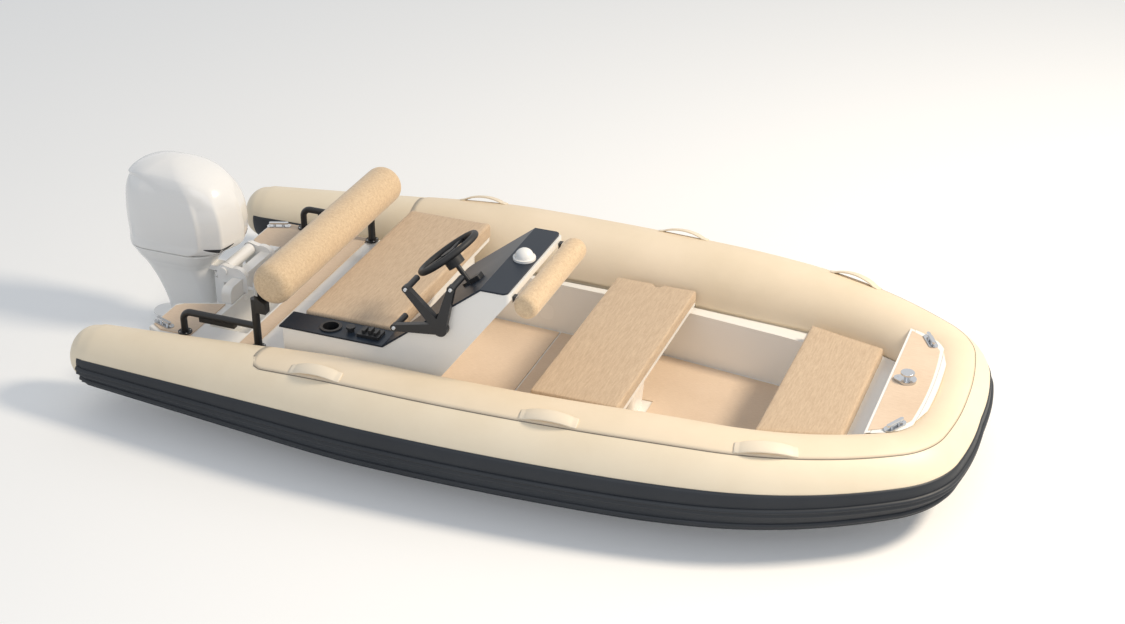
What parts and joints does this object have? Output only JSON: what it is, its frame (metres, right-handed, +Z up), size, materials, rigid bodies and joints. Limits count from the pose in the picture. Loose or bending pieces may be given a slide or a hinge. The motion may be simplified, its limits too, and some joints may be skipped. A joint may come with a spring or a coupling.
{
  "type": "rigid inflatable boat with outboard motor",
  "caption": "Small rigid inflatable boat with a side helm, bench seats, padded rolls and a tilting, steering outboard motor.",
  "frame": {"origin": "on the centreline at the waterline, about amidships", "axes": "+X to the bow, +Y to port, +Z up"},
  "size_m": [4.1554, 2.1162, 1.3646],
  "materials": {
    "cream_fabric": "satin coated cream boat fabric",
    "black_fabric": "satin black coated fabric",
    "patch_fabric": "woven cream wear patch",
    "strap": "cream moulded strap",
    "gelcoat": "glossy white gelcoat",
    "deck_pad": "matt tan foam decking",
    "seat_fabric": "tan woven cover",
    "board": "coated ply board",
    "polished_steel": "polished stainless",
    "black_metal": "satin black powder coat",
    "black_gelcoat": "glossy black gelcoat",
    "black_plastic": "satin black plastic",
    "white_plastic": "white plastic",
    "white_paint": "glossy white marine paint",
    "block": "plain casting"
  },
  "bodies": {
    "boat": {"tube": "cream_fabric", "tube_wrap": "black_fabric", "rub_strakes": "black_fabric", "tube_patches": "patch_fabric", "lifting_handles": "strap", "hull": "gelcoat", "cockpit_liner": "gelcoat", "floor_pads": "deck_pad", "stern_deck": "gelcoat", "transom": "gelcoat", "stern_pads": "deck_pad", "stern_cleats": "polished_steel", "stern_rail_port": "black_metal", "stern_rail_starboard": "black_metal", "roll_brackets": "black_metal", "backrest_roll": "seat_fabric", "helm_seat_base": "gelcoat", "mid_seat_pedestal": "gelcoat", "mid_seat_board": "board", "mid_seat_cushion": "seat_fabric", "bow_seat_base": "gelcoat", "bow_seat_cushion": "seat_fabric", "bow_deck": "gelcoat", "bow_deck_pad": "deck_pad", "bow_cleats": "polished_steel", "bow_fitting": "polished_steel", "console_body": "gelcoat", "console_top": "black_gelcoat", "cup_holder": "black_plastic", "arm_controls": "black_plastic", "steering_column": "black_metal", "switch_box": "black_plastic", "compass": "white_plastic", "console_bolster": "seat_fabric", "bolster_brackets": "black_metal", "hand_bracket": "black_metal", "clamp_bracket": "white_paint"},
    "seat_lid": {"helm_seat_lid": "board", "helm_seat_cushion": "seat_fabric"},
    "helm_wheel": {"steering_wheel": "black_plastic"},
    "motor_swivel": {"swivel_bracket": "white_paint"},
    "motor": {"engine_leg": "white_paint", "cowl": "white_paint", "powerhead": "block"},
    "propeller": {"propeller": "white_paint"}
  },
  "joints": [
    {"name": "engine_tilt", "type": "hinge", "parent": "boat", "child": "motor_swivel", "pos_m": [-1.548, 0, 0.405], "axis": [0, 1, 0], "range_deg": [0, 60]},
    {"name": "engine_steer", "type": "hinge", "parent": "motor_swivel", "child": "motor", "pos_m": [-1.645, 0, 0.22], "axis": [0, 0, 1], "range_deg": [-35, 35]},
    {"name": "propeller_spin", "type": "hinge", "parent": "motor", "child": "propeller", "pos_m": [-2.085, 0, -0.235], "axis": [1, 0, 0], "continuous": true},
    {"name": "wheel_turn", "type": "hinge", "parent": "boat", "child": "helm_wheel", "pos_m": [-0.25181, -0.4, 0.86828], "axis": [-0.6166, 0, 0.7873], "range_deg": [-541, 541]},
    {"name": "seat_lid_hinge", "type": "hinge", "parent": "boat", "child": "seat_lid", "pos_m": [-0.915, 0, 0.436], "axis": [0, -1, 0], "range_deg": [0, 50]}
  ],
  "couplings": [
    {"joint": "wheel_turn", "follows": "engine_steer", "ratio": -15.43}
  ]
}
